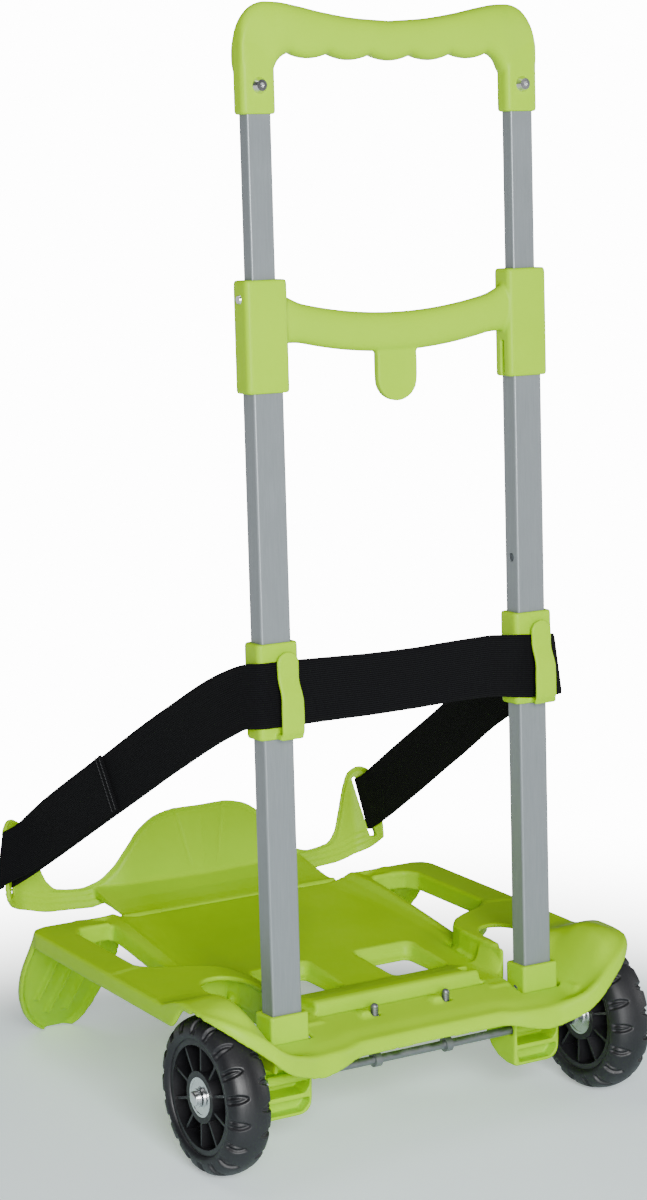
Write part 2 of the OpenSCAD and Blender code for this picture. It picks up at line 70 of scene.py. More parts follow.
def table(rows):
    """smooth, non-overshooting curve through rows of (t, value)"""
    T = np.array([r[0] for r in rows], float)
    Vv = np.array([r[1] for r in rows], float)
    d = np.diff(Vv) / np.diff(T)
    m = np.zeros(len(T))
    m[0], m[-1] = d[0], d[-1]
    for i in range(1, len(T) - 1):
        if d[i - 1] * d[i] > 0:
            h0, h1 = T[i] - T[i - 1], T[i + 1] - T[i]
            w0, w1 = 2 * h1 + h0, h1 + 2 * h0
            m[i] = (w0 + w1) / (w0 / d[i - 1] + w1 / d[i])

    def f(t):
        t = np.clip(np.asarray(t, float), T[0], T[-1])
        k = np.clip(np.searchsorted(T, t) - 1, 0, len(T) - 2)
        h = T[k + 1] - T[k]
        u = (t - T[k]) / h
        return ((2 * u**3 - 3 * u**2 + 1) * Vv[k] + (u**3 - 2 * u**2 + u) * h * m[k]
                + (-2 * u**3 + 3 * u**2) * Vv[k + 1] + (u**3 - u**2) * h * m[k + 1])
    return f


def new_obj(name, verts, faces, smooth=True):
    """verts in cart millimetres -> object in the row frame, metres"""
    v = np.asarray(verts, float).reshape(-1, 3)
    v = (v - np.array([0, YC, 0])) / 1000.0
    me = bpy.data.meshes.new(name)
    me.from_pydata([tuple(p) for p in v], [], [tuple(int(i) for i in f) for f in faces])
    me.update()
    me.validate()
    o = bpy.data.objects.new(name, me)
    bpy.context.scene.collection.objects.link(o)
    fix_normals(o)
    if smooth:
        me.polygons.foreach_set("use_smooth", [True] * len(me.polygons))
    return o


def fix_normals(o):
    bm = bmesh.new()
    bm.from_mesh(o.data)
    bmesh.ops.recalc_face_normals(bm, faces=bm.faces)
    bm.to_mesh(o.data)
    bm.free()


def loft(rings, caps=True):
    """rings: (m, n, 3) -> verts, faces of a closed tube"""
    R = np.asarray(rings, float)
    m, n = R.shape[:2]
    F = []
    for k in range(m - 1):
        a = np.arange(n) + k * n
        b = (np.arange(n) + 1) % n + k * n
        F += list(zip(a, b, b + n, a + n))
    if caps:
        F.append(tuple(range(n - 1, -1, -1)))
        F.append(tuple(range((m - 1) * n, m * n)))
    return R.reshape(-1, 3), F


def shell(G, N, t):
    """grid of points G (m, n, 3) with unit normals N thickened by t against N"""
    m, n = G.shape[:2]
    A = G.reshape(-1, 3)
    B = (G - N * t).reshape(-1, 3)
    V = np.vstack([A, B])
    off = m * n
    F = []
    idx = np.arange(m * n).reshape(m, n)
    q = np.stack([idx[:-1, :-1], idx[1:, :-1], idx[1:, 1:], idx[:-1, 1:]], -1).reshape(-1, 4)
    F += [tuple(r) for r in q]
    F += [tuple(r[::-1] + off) for r in q]
    border = list(idx[:, 0]) + list(idx[-1, 1:]) + list(idx[-2::-1, -1]) + list(idx[0, -2:0:-1])
    for i in range(len(border)):
        a, b = border[i], border[(i + 1) % len(border)]
        F.append((a, b, b + off, a + off))
    return V, F


def grid_normals(G):
    du = np.gradient(G, axis=0)
    dv = np.gradient(G, axis=1)
    N = np.cross(du, dv)
    return N / np.maximum(np.linalg.norm(N, axis=-1, keepdims=True), 1e-9)


def prism(poly, z0, z1):
    P = np.array(poly, float)
    n = len(P)
    V = [(x, y, z0) for x, y in P] + [(x, y, z1) for x, y in P]
    F = [tuple(range(n - 1, -1, -1)), tuple(range(n, 2 * n))] + [(i, (i + 1) % n, (i + 1) % n + n, i + n) for i in range(n)]
    return V, F


def rrect(w, h, r, n=6, p=0):
    """rounded rectangle ring, centred"""
    out = []
    for cx, cy, a0 in ((w / 2 - r, h / 2 - r, 0), (-w / 2 + r, h / 2 - r, 90), (-w / 2 + r, -h / 2 + r, 180), (w / 2 - r, -h / 2 + r, 270)):
        for k in range(n + 1):
            a = math.radians(a0 + 90 * k / n)
            out.append((cx + r * math.cos(a), cy + r * math.sin(a)))
    return out


def round_poly(poly, r, n=6):
    """polygon with its corners rounded"""
    P = [np.array(p, float) for p in poly]
    out = []
    for i in range(len(P)):
        a, b, c = P[i - 1], P[i], P[(i + 1) % len(P)]
        u, w = (a - b), (c - b)
        lu, lw = np.linalg.norm(u), np.linalg.norm(w)
        k = min(r, lu * 0.45, lw * 0.45)
        s, e = b + u / lu * k, b + w / lw * k
        for j in range(n + 1):
            t = j / n
            out.append((1 - t)**2 * s + 2 * t * (1 - t) * b + t * t * e)
    return out


def mirror_x(poly):
    return [(-x, y) for x, y in poly][::-1]


def sweep(path, r, n=10, closed=False, flat=1.0):
    P = np.asarray(path, float)
    m = len(P)
    rings = []
    for i in range(m):
        a = P[i - 1] if (i > 0 or closed) else P[i]
        b = P[(i + 1) % m] if (i < m - 1 or closed) else P[i]
        d = (b - a) / np.linalg.norm(b - a)
        up = np.array([0, 0, 1.0]) if abs(d[2]) < 0.9 else np.array([0, 1.0, 0])
        s = np.cross(d, up); s /= np.linalg.norm(s)
        u = np.cross(s, d)
        rings.append([P[i] + r * (math.cos(t) * s + flat * math.sin(t) * u) for t in np.linspace(0, 2 * math.pi, n, endpoint=False)])
    if closed:
        R = np.array(rings)
        F = []
        for k in range(m):
            k2 = (k + 1) % m
            for i in range(n):
                j = (i + 1) % n
                F.append((k * n + i, k * n + j, k2 * n + j, k2 * n + i))
        return R.reshape(-1, 3), F
    return loft(rings)


def join(name, parts):
    obs = [new_obj("%s_%d" % (name, i), v, f) for i, (v, f) in enumerate(parts)]
    bm = bmesh.new()
    for o in obs:
        bm.from_mesh(o.data)
    me = bpy.data.meshes.new(name)
    bm.to_mesh(me)
    bm.free()
    for o in obs:
        m = o.data
        bpy.data.objects.remove(o)
        bpy.data.meshes.remove(m)
    o = bpy.data.objects.new(name, me)
    bpy.context.scene.collection.objects.link(o)
    return o


def apply_mods(o):
    dg = bpy.context.evaluated_depsgraph_get()
    dg.update()
    me = bpy.data.meshes.new_from_object(o.evaluated_get(dg), preserve_all_data_layers=True, depsgraph=dg)
    o.modifiers.clear()
    old = o.data
    o.data = me
    bpy.data.meshes.remove(old)


def remesh(o, size):
    m = o.modifiers.new("r", "REMESH")
    m.mode = "VOXEL"
    m.voxel_size = size / 1000.0
    m.use_smooth_shade = True
    apply_mods(o)


def cut(o, parts):
    c = join(o.name + "_c", parts)
    m = o.modifiers.new("b", "BOOLEAN")
    m.operation = "DIFFERENCE"
    m.object = c
    m.solver = "MANIFOLD"
    apply_mods(o)
    bpy.data.objects.remove(c)


def relax(o, times, lam=0.5, mu=-0.52):
    me = o.data
    n = len(me.vertices)
    co = np.zeros(n * 3, np.float32)
    me.vertices.foreach_get("co", co)
    co = co.reshape(-1, 3).astype(np.float64)
    e = np.zeros(len(me.edges) * 2, np.int64)
    me.edges.foreach_get("vertices", e)
    e = e.reshape(-1, 2)
    deg = np.bincount(e.ravel(), minlength=n).astype(float)
    deg[deg == 0] = 1
    for k in range(times):
        for f in (lam, mu):
            acc = np.empty_like(co)
            for c in range(3):
                acc[:, c] = np.bincount(e[:, 0], weights=co[e[:, 1], c], minlength=n) + np.bincount(e[:, 1], weights=co[e[:, 0], c], minlength=n)
            co += f * (acc / deg[:, None] - co)
    me.vertices.foreach_set("co", co.astype(np.float32).ravel())
    me.update()
    me.polygons.foreach_set("use_smooth", [True] * len(me.polygons))


def on_tube(pts, s, z0):
    """points given in a tube's leaned frame -> cart millimetres"""
    P = np.asarray(pts, float).reshape(-1, 3)
    c, q = math.cos(LEAN), math.sin(LEAN)
    x = P[:, 0] + s * TH
    y = P[:, 1] * c + P[:, 2] * q + ty(z0)
    z = -P[:, 1] * q + P[:, 2] * c + z0
    return np.stack([x, y, z], -1)


def tube_loft(rings, s, z0):
    R = np.array([on_tube(r, s, z0) for r in rings])
    return loft(R)


# ---------------------------------------------------------------- materials
def mat(name):
    m = bpy.data.materials.new(name)
    m.use_nodes = True
    nt = m.node_tree
    nt.nodes.clear()
    out = nt.nodes.new("ShaderNodeOutputMaterial")
    b = nt.nodes.new("ShaderNodeBsdfPrincipled")
    nt.links.new(b.outputs[0], out.inputs[0])
    return m, nt, b


def node(nt, kind, **kw):
    n = nt.nodes.new(kind)
    for k, v in kw.items():
        if k.startswith("i_"):
            key = k[2:]
            key = int(key) if key.isdigit() else key.replace("_", " ")
            n.inputs[key].default_value = v
        else:
            setattr(n, k, v)
    return n


def noise(nt, scale, detail=3.0, rough=0.5, vec=None, coord="Object"):
    n = node(nt, "ShaderNodeTexNoise")
    n.inputs["Scale"].default_value = scale
    n.inputs["Detail"].default_value = detail
    n.inputs["Roughness"].default_value = rough
    if vec is None:
        tc = node(nt, "ShaderNodeTexCoord")
        nt.links.new(tc.outputs[coord], n.inputs["Vector"])
    else:
        nt.links.new(vec, n.inputs["Vector"])
    return n.outputs["Fac"]


def ramp(nt, fac, stops):
    r = node(nt, "ShaderNodeValToRGB")
    e = r.color_ramp.elements
    while len(e) < len(stops):
        e.new(0.5)
    for el, (p, c) in zip(e, stops):
        el.position = p
        el.color = c if len(c) == 4 else (*c, 1)
    nt.links.new(fac, r.inputs["Fac"])
    return r.outputs["Color"]


def mapr(nt, fac, a, b, lo=0.0, hi=1.0):
    n = node(nt, "ShaderNodeMapRange")
    n.inputs["From Min"].default_value = lo
    n.inputs["From Max"].default_value = hi
    n.inputs["To Min"].default_value = a
    n.inputs["To Max"].default_value = b
    nt.links.new(fac, n.inputs["Value"])
    return n.outputs["Result"]


def bump(nt, b, height, dist, strength=1.0, chain=None):
    n = node(nt, "ShaderNodeBump")
    n.inputs["Distance"].default_value = dist
    n.inputs["Strength"].default_value = strength
    nt.links.new(height, n.inputs["Height"])
    if chain is not None:
        nt.links.new(chain, n.inputs["Normal"])
    if b is not None:
        nt.links.new(n.outputs[0], b.inputs["Normal"])
    return n.outputs[0]


def green_plastic(name="green_moulded", rough=0.40):
    m, nt, b = mat(name)
    big = noise(nt, 14, 2)
    c = ramp(nt, big, [(0.3, (0.300, 0.560, 0.000)), (0.7, (0.335, 0.605, 0.000))])
    nt.links.new(c, b.inputs["Base Color"])
    r = noise(nt, 60, 4)
    nt.links.new(mapr(nt, r, rough - 0.05, rough + 0.07, 0.3, 0.7), b.inputs["Roughness"])
    fine = noise(nt, 900, 2)
    mid = noise(nt, 45, 2)
    ch = bump(nt, None, mid, 0.00025, 0.35)
    bump(nt, b, fine, 0.00006, 0.35, ch)
    b.inputs["IOR"].default_value = 1.49
    b.inputs["Specular IOR Level"].default_value = 0.14
    b.inputs["Subsurface Weight"].default_value = 0.06
    b.inputs["Subsurface Radius"].default_value = (0.004, 0.006, 0.001)
    b.inputs["Subsurface Scale"].default_value = 1.0
    return m


def grey_tube():
    m, nt, b = mat("grey_coated_tube")
    tc = node(nt, "ShaderNodeTexCoord")
    mp = node(nt, "ShaderNodeMapping")
    mp.inputs["Scale"].default_value = (900, 900, 9)
    nt.links.new(tc.outputs["Object"], mp.inputs["Vector"])
    st = noise(nt, 1.0, 4, 0.6, mp.outputs[0])
    c = ramp(nt, st, [(0.25, (0.205, 0.232, 0.246)), (0.75, (0.240, 0.268, 0.284))])
    nt.links.new(c, b.inputs["Base Color"])
    b.inputs["Metallic"].default_value = 0.35
    r = noise(nt, 40, 3)
    nt.links.new(mapr(nt, r, 0.33, 0.42, 0.3, 0.7), b.inputs["Roughness"])
    bump(nt, b, st, 0.00005, 0.25)
    return m


def steel(name, rough=0.22, base=(0.78, 0.79, 0.80), streak=600):
    m, nt, b = mat(name)
    n1 = noise(nt, streak, 3)
    c = ramp(nt, n1, [(0.3, tuple(v * 0.88 for v in base)), (0.7, base)])
    nt.links.new(c, b.inputs["Base Color"])
    b.inputs["Metallic"].default_value = 1.0
    n2 = noise(nt, 120, 4)
    nt.links.new(mapr(nt, n2, rough * 0.75, rough * 1.4, 0.3, 0.7), b.inputs["Roughness"])
    bump(nt, b, n1, 0.00004, 0.3)
    return m


def rubber(name="tyre_rubber", rough=0.5, base=(0.005, 0.005, 0.0065)):
    m, nt, b = mat(name)
    n1 = noise(nt, 30, 4)
    c = ramp(nt, n1, [(0.3, base), (0.75, tuple(v * 1.9 for v in base))])
    nt.links.new(c, b.inputs["Base Color"])
    nt.links.new(mapr(nt, n1, rough - 0.08, rough + 0.1, 0.3, 0.7), b.inputs["Roughness"])
    f = noise(nt, 1400, 3)
    bump(nt, b, f, 0.00012, 0.6)
    return m


def webbing(name="elastic_webbing"):
    """UV: u along the strap in millimetres, v across in millimetres"""
    m, nt, b = mat(name)
    uv = node(nt, "ShaderNodeUVMap", uv_map="mm")
    sep = node(nt, "ShaderNodeSeparateXYZ")
    nt.links.new(uv.outputs[0], sep.inputs[0])

    def wave(src, period):
        k = node(nt, "ShaderNodeMath", operation="MULTIPLY")
        nt.links.new(src, k.inputs[0]); k.inputs[1].default_value = 2 * math.pi / period
        s = node(nt, "ShaderNodeMath", operation="SINE")
        nt.links.new(k.outputs[0], s.inputs[0])
        return s.outputs[0]
    across = wave(sep.outputs["Y"], 1.35)
    along = wave(sep.outputs["X"], 1.1)
    mul = node(nt, "ShaderNodeMath", operation="MULTIPLY")
    nt.links.new(across, mul.inputs[0]); nt.links.new(along, mul.inputs[1])
    add = node(nt, "ShaderNodeMath", operation="MULTIPLY_ADD")
    nt.links.new(mul.outputs[0], add.inputs[0]); add.inputs[1].default_value = 0.45
    nt.links.new(across, add.inputs[2])
    fuzz = noise(nt, 1600, 3)
    c0 = mapr(nt, add.outputs[0], 0.0, 1.0, -1.4, 1.4)
    c = ramp(nt, c0, [(0.0, (0.001, 0.001, 0.0014)), (0.55, (0.003, 0.003, 0.0038)), (1.0, (0.009, 0.009, 0.011))])
    nt.links.new(c, b.inputs["Base Color"])
    nt.links.new(mapr(nt, fuzz, 0.72, 0.95, 0.3, 0.7), b.inputs["Roughness"])
    b.inputs["Specular IOR Level"].default_value = 0.08
    b.inputs["Sheen Weight"].default_value = 0.01
    b.inputs["Sheen Roughness"].default_value = 0.5
    ch = bump(nt, None, add.outputs[0], 0.0003, 0.9)
    bump(nt, b, fuzz, 0.0001, 0.25, ch)
    return m


GREEN = green_plastic()
GREY = grey_tube()
BRIGHT = steel("bright_zinc_steel", 0.2)
AXLE = steel("axle_steel", 0.5, (0.27, 0.285, 0.295), 300)
TYRE = rubber()
RIM = rubber("rim_black_plastic", 0.42, (0.005, 0.005, 0.006))
WEB = webbing()
THREAD = rubber("black_thread", 0.7, (0.02, 0.02, 0.022))


def paint(o, m):
    o.data.materials.clear()
    o.data.materials.append(m)


def done(o, body, slot, m, *repl):
    paint(o, m)
    if body:
        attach(o, body)
    if repl:
        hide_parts(*repl)
    return o


for n, o in NODES.items():
    if "tube_left" in n or "tube_right" in n or "tube" in n and "foot" not in n and "slider" not in n:
        paint(o, GREY)
    elif "tyre" in n:
        paint(o, TYRE)
    elif n.startswith("rim"):
        paint(o, RIM)
    elif "slider" in n:
        paint(o, RIM)
    elif n == "axle" or n.startswith("staple") or n.startswith("cradle_pin"):
        paint(o, AXLE)
    elif any(k in n for k in ("bearing", "nut", "screw", "bolt", "rivet", "spacer")):
        paint(o, BRIGHT)
    elif n.startswith("strap_") and "clip" not in n:
        paint(o, WEB)
    else:
        paint(o, GREEN)

# ---------------------------------------------------------------- base moulding
rim_y = table([(0, -28), (56, -28.5), (64, -30.5), (72, -33), (80, -34.5), (96, -36.5), (104, -38.3), (112, -40), (120, -41.6), (128, -42), (136, -40.2), (144, -37.6), (152, -34), (160, -27.6), (164.5, -22), (168.6, -12)])
rim_z = table([(0, 68), (56, 67.8), (64, 66.6), (72, 64.8), (80, 63), (88, 61.8), (96, 62.6), (104, 65), (112, 67.8), (120, 72), (128, 78), (136, 84.5), (144, 90.7), (152, 96.4), (160, 102.6), (168.6, 108.5)])
skirt = table([(0, 9.5), (60, 9.5), (90, 14.5), (130, 13.5), (152, 10), (162, 6.5), (168.6, 3.5)])
hill = table([(-42, 97), (-34, 106), (-20, 113.2), (-5, 116.6), (6, 116.4), (20, 112), (36, 106), (46, 104.3), (60, 103.9)])
edge = table([(-20, 111), (0, 112.4), (14, 112.6), (29, 109), (42, 104.45), (60, 103.9)])


def beam_z(y):
    return 86.3 + 0.226 * (y - 12)


def rear_z(a, y):
    low = np.where(y < 12, beam_z(y), 86.3 + 16.5 * ss(12, 34, y) * ss(80, 92, a))
    h = hill(y) + (edge(y) - hill(y)) * ss(150, 168.6, a)
    return low + (np.maximum(h, low) - low) * ss(112, 147, a)


def rear_shell():
    X = np.concatenate([np.linspace(-168.4, -60, 75), np.linspace(-56, 56, 25), np.linspace(60, 168.4, 75)])
    n = 54
    G = np.zeros((len(X), n + 4, 3))
    for i, x in enumerate(X):
        a = abs(x)
        yr, zr, sk = float(rim_y(a)), float(rim_z(a)), float(skirt(a))
        u = np.linspace(0, 1, n)
        y = yr + 3.2 + (48 - yr - 3.2) * u**1.3
        e = ss(0, 14, y - yr - 3)
        z = (zr + sk) * (1 - e) + rear_z(a, y) * e
        yy = np.concatenate([[yr, yr + 0.3, yr + 0.9, yr + 1.9], y])
        zz = np.concatenate([[zr, zr + sk * 0.35, zr + sk * 0.68, zr + sk * 0.9], z])
        G[i, :, 0] = x
        G[i, :, 1] = yy
        G[i, :, 2] = zz
    # soften the skirt's corner
    for _ in range(6):
        G[:, 1:-1, 1:] = 0.5 * G[:, 1:-1, 1:] + 0.25 * (G[:, 2:, 1:] + G[:, :-2, 1:])
    N = grid_normals(G)
    if N[60, 30, 2] < 0:
        N = -N
    return shell(G, N, 3.0)


OPENING = [(143.2, 206), (143.4, 128), (136, 113), (118, 105), (99, 95), (95, 104), (98.5, 140), (100, 175), (103.5, 212), (112, 219), (134, 219)]
PAD = [(88, 30), (89, 72), (92, 86), (101, 97), (116, 105.5), (133, 112.5), (143.5, 124), (168.4, 126), (168.4, 40), (150, 36)]
lip_z = table([(100, 89.4), (107, 90.1), (133, 93.6), (173, 98.9), (217, 103.6), (240, 104.4)])
deck_w = table([(13, 78), (50, 84), (110, 86.5), (180, 85.5), (236, 79)])


def deck_z(y):
    return 85.5 + (np.asarray(y, float) - 15) * 0.0636


def frame_poly():
    P = [(-168.6, 40), (168.6, 40), (168.6, 228), (160, 235), (-160, 235), (-168.6, 228)]
    return P


def side(poly, s):
    return poly if s > 0 else mirror_x(poly)


def foot_parts(s):
    fy = lambda z: 230 + 86 * (1 - z / 104.0) ** 1.15 if z < 104 else 230
    xo = table([(0, 122), (3, 127), (13, 139), (28, 151), (52, 163), (75, 167.9), (104, 168.2)])
    xi = table([(0, 99), (3, 96), (12, 92), (50, 91), (80, 94), (96, 103), (104, 118)])
    zs = [0.2, 1.5, 3, 5, 8, 12, 17, 23, 30, 38, 46, 55, 64, 73, 82, 90, 97, 103.1]
    rings = []
    for z in zs:
        y, a, b = fy(z), float(xi(z)), float(xo(z))
        t = 3.4
        r = [(a, y - 9), (a + 2.8, y - 9), (a + 4.5, y - t), (b - 4.5, y - t), (b - 2.8, y - 9), (b, y - 9), (b - 0.6, y - 2.6), (b - 4, y), (a + 4, y), (a + 0.6, y - 2.6)]
        rings.append([(s * x, yy, z) for x, yy in r])
    parts = [loft(rings)]
    for k in range(3):
        x = 110 + k * 15
        z0 = 34 if k == 2 else 18
        rr = []
        for z in np.linspace(z0, 99, 8):
            y = fy(z)
            rr.append([(s * x, y - 9, z), (s * (x + 2), y - 9, z), (s * (x + 2), y - 1, z), (s * x, y - 1, z)])
        parts.append(loft(rr))
    return parts


def mast_hole(s, z0, z1, grow=0.0):
    P = []
    g = grow
    # straight rear part round the tube foot, egg-shaped front
    P += [(83.7 - g, -10.2 - g), (116.3 + g, -10.2 - g), (117.0 + g, 6), (120 + g, 19), (126 + g, 30)]
    for t in np.linspace(-10, 185, 21):
        a = math.radians(t)
        P.append((112.2 + (17.4 + g) * math.cos(a), 47 + (25 + g) * math.sin(a)))
    P += [(93.2 - g, 30), (90.5 - g, 20.5), (83.7 - g, 19.5)]
    return prism(side([tuple(q) for q in round_poly(P, 2.5, 3)], s), z0, z1)


def build_base():
    parts = [rear_shell()]
    # flat frame, drawn as a ring of plates and hanging walls
    ys = np.concatenate([np.linspace(13.2, 60, 12), np.linspace(66, 236, 40)])
    rings = []
    for y in ys:
        z, w = float(deck_z(y)), float(deck_w(y))
        g = float(ss(86, 108, y))
        xo = 89.5 + 20.5 * g
        zl = z - 2.5 + (float(lip_z(y)) - z + 2.5) * g
        d = xo - w
        top = [(w - 6, z), (w - 1, z - 0.1), (w + 0.18 * d, 0.85 * z + 0.15 * zl - 0.3), (w + 0.5 * d, (z + zl) / 2), (xo - 0.36 * d, zl - 0.3), (xo - 0.27 * d, zl + 0.9 * g), (xo - 0.18 * d, zl - 0.1), (xo - 0.05 * d, zl - 0.9), (xo, zl - 2.4), (xo + 0.2, zl - 14)]
        bot = [(xo - 3, zl - 14), (xo - 3.2, zl - 4.5), (min(w + 2, xo - 4.5), min(z, zl) - 4.2), (w - 7, z - 3.6)]
        r = [(x, y, q) for x, q in top + bot] + [(-x, y, q) for x, q in (top + bot)[::-1]]
        rings.append(r)
    parts.append(loft(rings))
    for s in (-1, 1):
        # rail plate, outer wall, inner wall
        plate = round_poly([(143, 118), (168.6, 112), (168.6, 40), (168.6, 235), (118, 235), (112, 219), (134, 219), (143.2, 206)], 5)
        parts.append(prism(side([(143.2, 118), (168.5, 112), (168.5, 224), (165, 231.5), (157, 235), (128, 235), (128, 218.5), (137, 216.5), (143.2, 206)], s), 101.4, 104.6))
        arch = []
        for y in np.linspace(2, 62, 31):
            zb = 91.8 + 15.6 * float(1 - ss(11, 30, y))
            zt = float(rear_z(168.0, y)) - 0.6
            arch.append([(s * 165.2, y, min(zb, zt - 2)), (s * 168.5, y, min(zb, zt - 2)), (s * 168.5, y, zt), (s * 165.2, y, zt)])
        parts.append(loft(arch))
        parts.append(prism(side([(165.3, 50), (168.5, 50), (168.5, 224), (165, 231.5), (157, 235), (100, 235), (100, 231.8), (156, 231.8), (162.6, 229), (165.3, 223)], s), 91.8, 104.4))
        parts.append(prism(side([(143.2, 116), (146.2, 116), (146.2, 207), (139.5, 219.5), (112, 222), (112, 219), (137, 216.5), (143.2, 206)], s), 90.5, 104.3))
        # pad in front of the wheel arch, with its wall down to the channel
        pad = round_poly(PAD, 6)
        parts.append(prism(side([tuple(p) for p in pad], s), 100.6, 103.9))
        wall = [(88.6, 22), (88.6, 60), (89.4, 74), (92, 86), (101, 96.6), (116, 104.8), (133, 111.8), (144, 122)]
        inner = [(x + 2.4, y - 2.2) for x, y in wall[::-1]]
        parts.append(prism(side(wall + inner, s), 80.5, 102.6))
        # rolled edge of the pad towards the opening
        path = [(x, y, 102.0) for x, y in [(89.9, 40), (90.3, 60), (91.2, 73), (93.8, 84.4), (102.2, 94.7), (117, 102.8), (134, 109.8), (145, 121), (145, 160), (145, 206), (138.8, 216.8), (126, 219.6), (112, 219.5)]]
        parts.append(sweep([(s * x, y, z) for x, y, z in path], 2.3, 10))
        # bridge from the rail down to the deck
        br = []
        for k in range(15):
            u = k / 14
            x = 60 + (132 - 60) * u
            z = 98.2 + (104.3 - 98.2) * float(ss(0.35, 1, u))
            y0 = 216 + 3 * float(ss(0.3, 1, u))
            br.append([(s * x, y0, z - 3.4), (s * x, 235.2, z - 3.4 + 0.4), (s * x, 235.2, z + 0.9), (s * x, y0, z)])
        parts.append(loft(br))
        # small upright rib on the side wall
        parts.append(prism(side([(94, 76), (96.6, 76), (96.6, 80), (94, 80)], s), 72, 86))
        parts += foot_parts(s)
        # side strips tying the deck to the rear beam
        parts.append(prism(side([(67.4, 3), (81.6, 3), (82.5, 20), (67.4, 20)], s), 79.5, 85.6))
        for q in (-1, 1):
            parts.append(prism([(s * 100 + q * 19.6 - 1.6, -24), (s * 100 + q * 19.6 + 1.6, -24), (s * 100 + q * 19.6 + 1.6, 36), (s * 100 + q * 19.6 - 1.6, 36)], 66, 77 if q * s < 0 else 84))
        parts.append(prism([(s * 28.5 - 11, -1), (s * 28.5 - 4.2, -1), (s * 28.5 - 4.2, 6), (s * 28.5 - 11, 6)], 80, 87.2))
    # wells round the windows, rear bar
    for s in (-1, 1):
        parts.append(prism(side([tuple(p) for p in round_poly([(15, 45.5), (70, 45.5), (70, 109), (15, 109)], 8)], s), 78.6, 87))
    parts.append(prism([(-66, 14.3), (66, 14.3), (66, 26), (-66, 26)], 76.5, 85.2))
    rings = []
    for x, k in ((-66, 1.2), (-64.6, 0), (0, 0), (64.6, 0), (66, 1.2)):
        rings.append([(x, y, q - k) for y, q in ((14.3, 80), (14.3, 90.6), (14.9, 92.4), (16.2, 93.6), (18.5, 94.2), (26, 93.7), (38, 91.2), (48, 88.4), (54, 87.0), (54, 82), (30, 80))])
    parts.append(loft(rings))
    for x in (-40, -17, 17, 40):
        parts.append(prism([(x - 1.5, -6), (x + 1.5, -6), (x + 1.5, 10), (x - 1.5, 10)], 66, 82))
    o = join("base_moulding", parts)
    remesh(o, 1.35)
    cuts = []
    for s in (-1, 1):
        cuts.append(mast_hole(s, 60, 125))
        win = round_poly([(21.5, 52), (64, 52), (64, 101), (21.5, 101)], 6)
        rings = []
        for z, g in ((60, -2.0), (81.2, -2.0), (81.4, 0.4), (84.6, 0.8), (87.4, 1.4), (90.0, 2.8), (96, 6.5)):
            c = np.array([42.7, 76.5])
            rings.append([(s * (c[0] + (p[0] - c[0]) * (1 + g / 21)), c[1] + (p[1] - c[1]) * (1 + g / 24.5), z) for p in win])
        cuts.append(loft(rings))
        cuts.append(prism([(s * 28.5 - 3.2, -1.5), (s * 28.5 + 3.2, -1.5), (s * 28.5 + 3.2, 4.9), (s * 28.5 - 3.2, 4.9)], 60, 100))
        if s > 0:
            cuts.append(prism([tuple(p) for p in round_poly([(56, 19), (70, 19), (70, 29), (56, 29)], 2)], 88.4, 99))
    cuts.append(prism([(-67, 10.6), (67, 10.6), (67, 14.3), (-67, 14.3)], 60, 110))
    cuts.append(loft([[(x, 240 + 4.9 * math.cos(t), 96.4 + 4.9 * math.sin(t)) for t in np.linspace(0, 2 * math.pi, 24, endpoint=False)] for x in (-91.4, 91.4)]))
    cuts.append(loft([[(x, AXZ * 0 + 0 + 3.6 * math.cos(t), AXZ + 3.6 * math.sin(t)) for t in np.linspace(0, 2 * math.pi, 20, endpoint=False)] for x in (-200, 200)]))
    cut(o, cuts)
    remesh(o, 1.15)
    relax(o, 6)
    return done(o, "base", "green_plastic", GREEN, "chassis")


build_base()


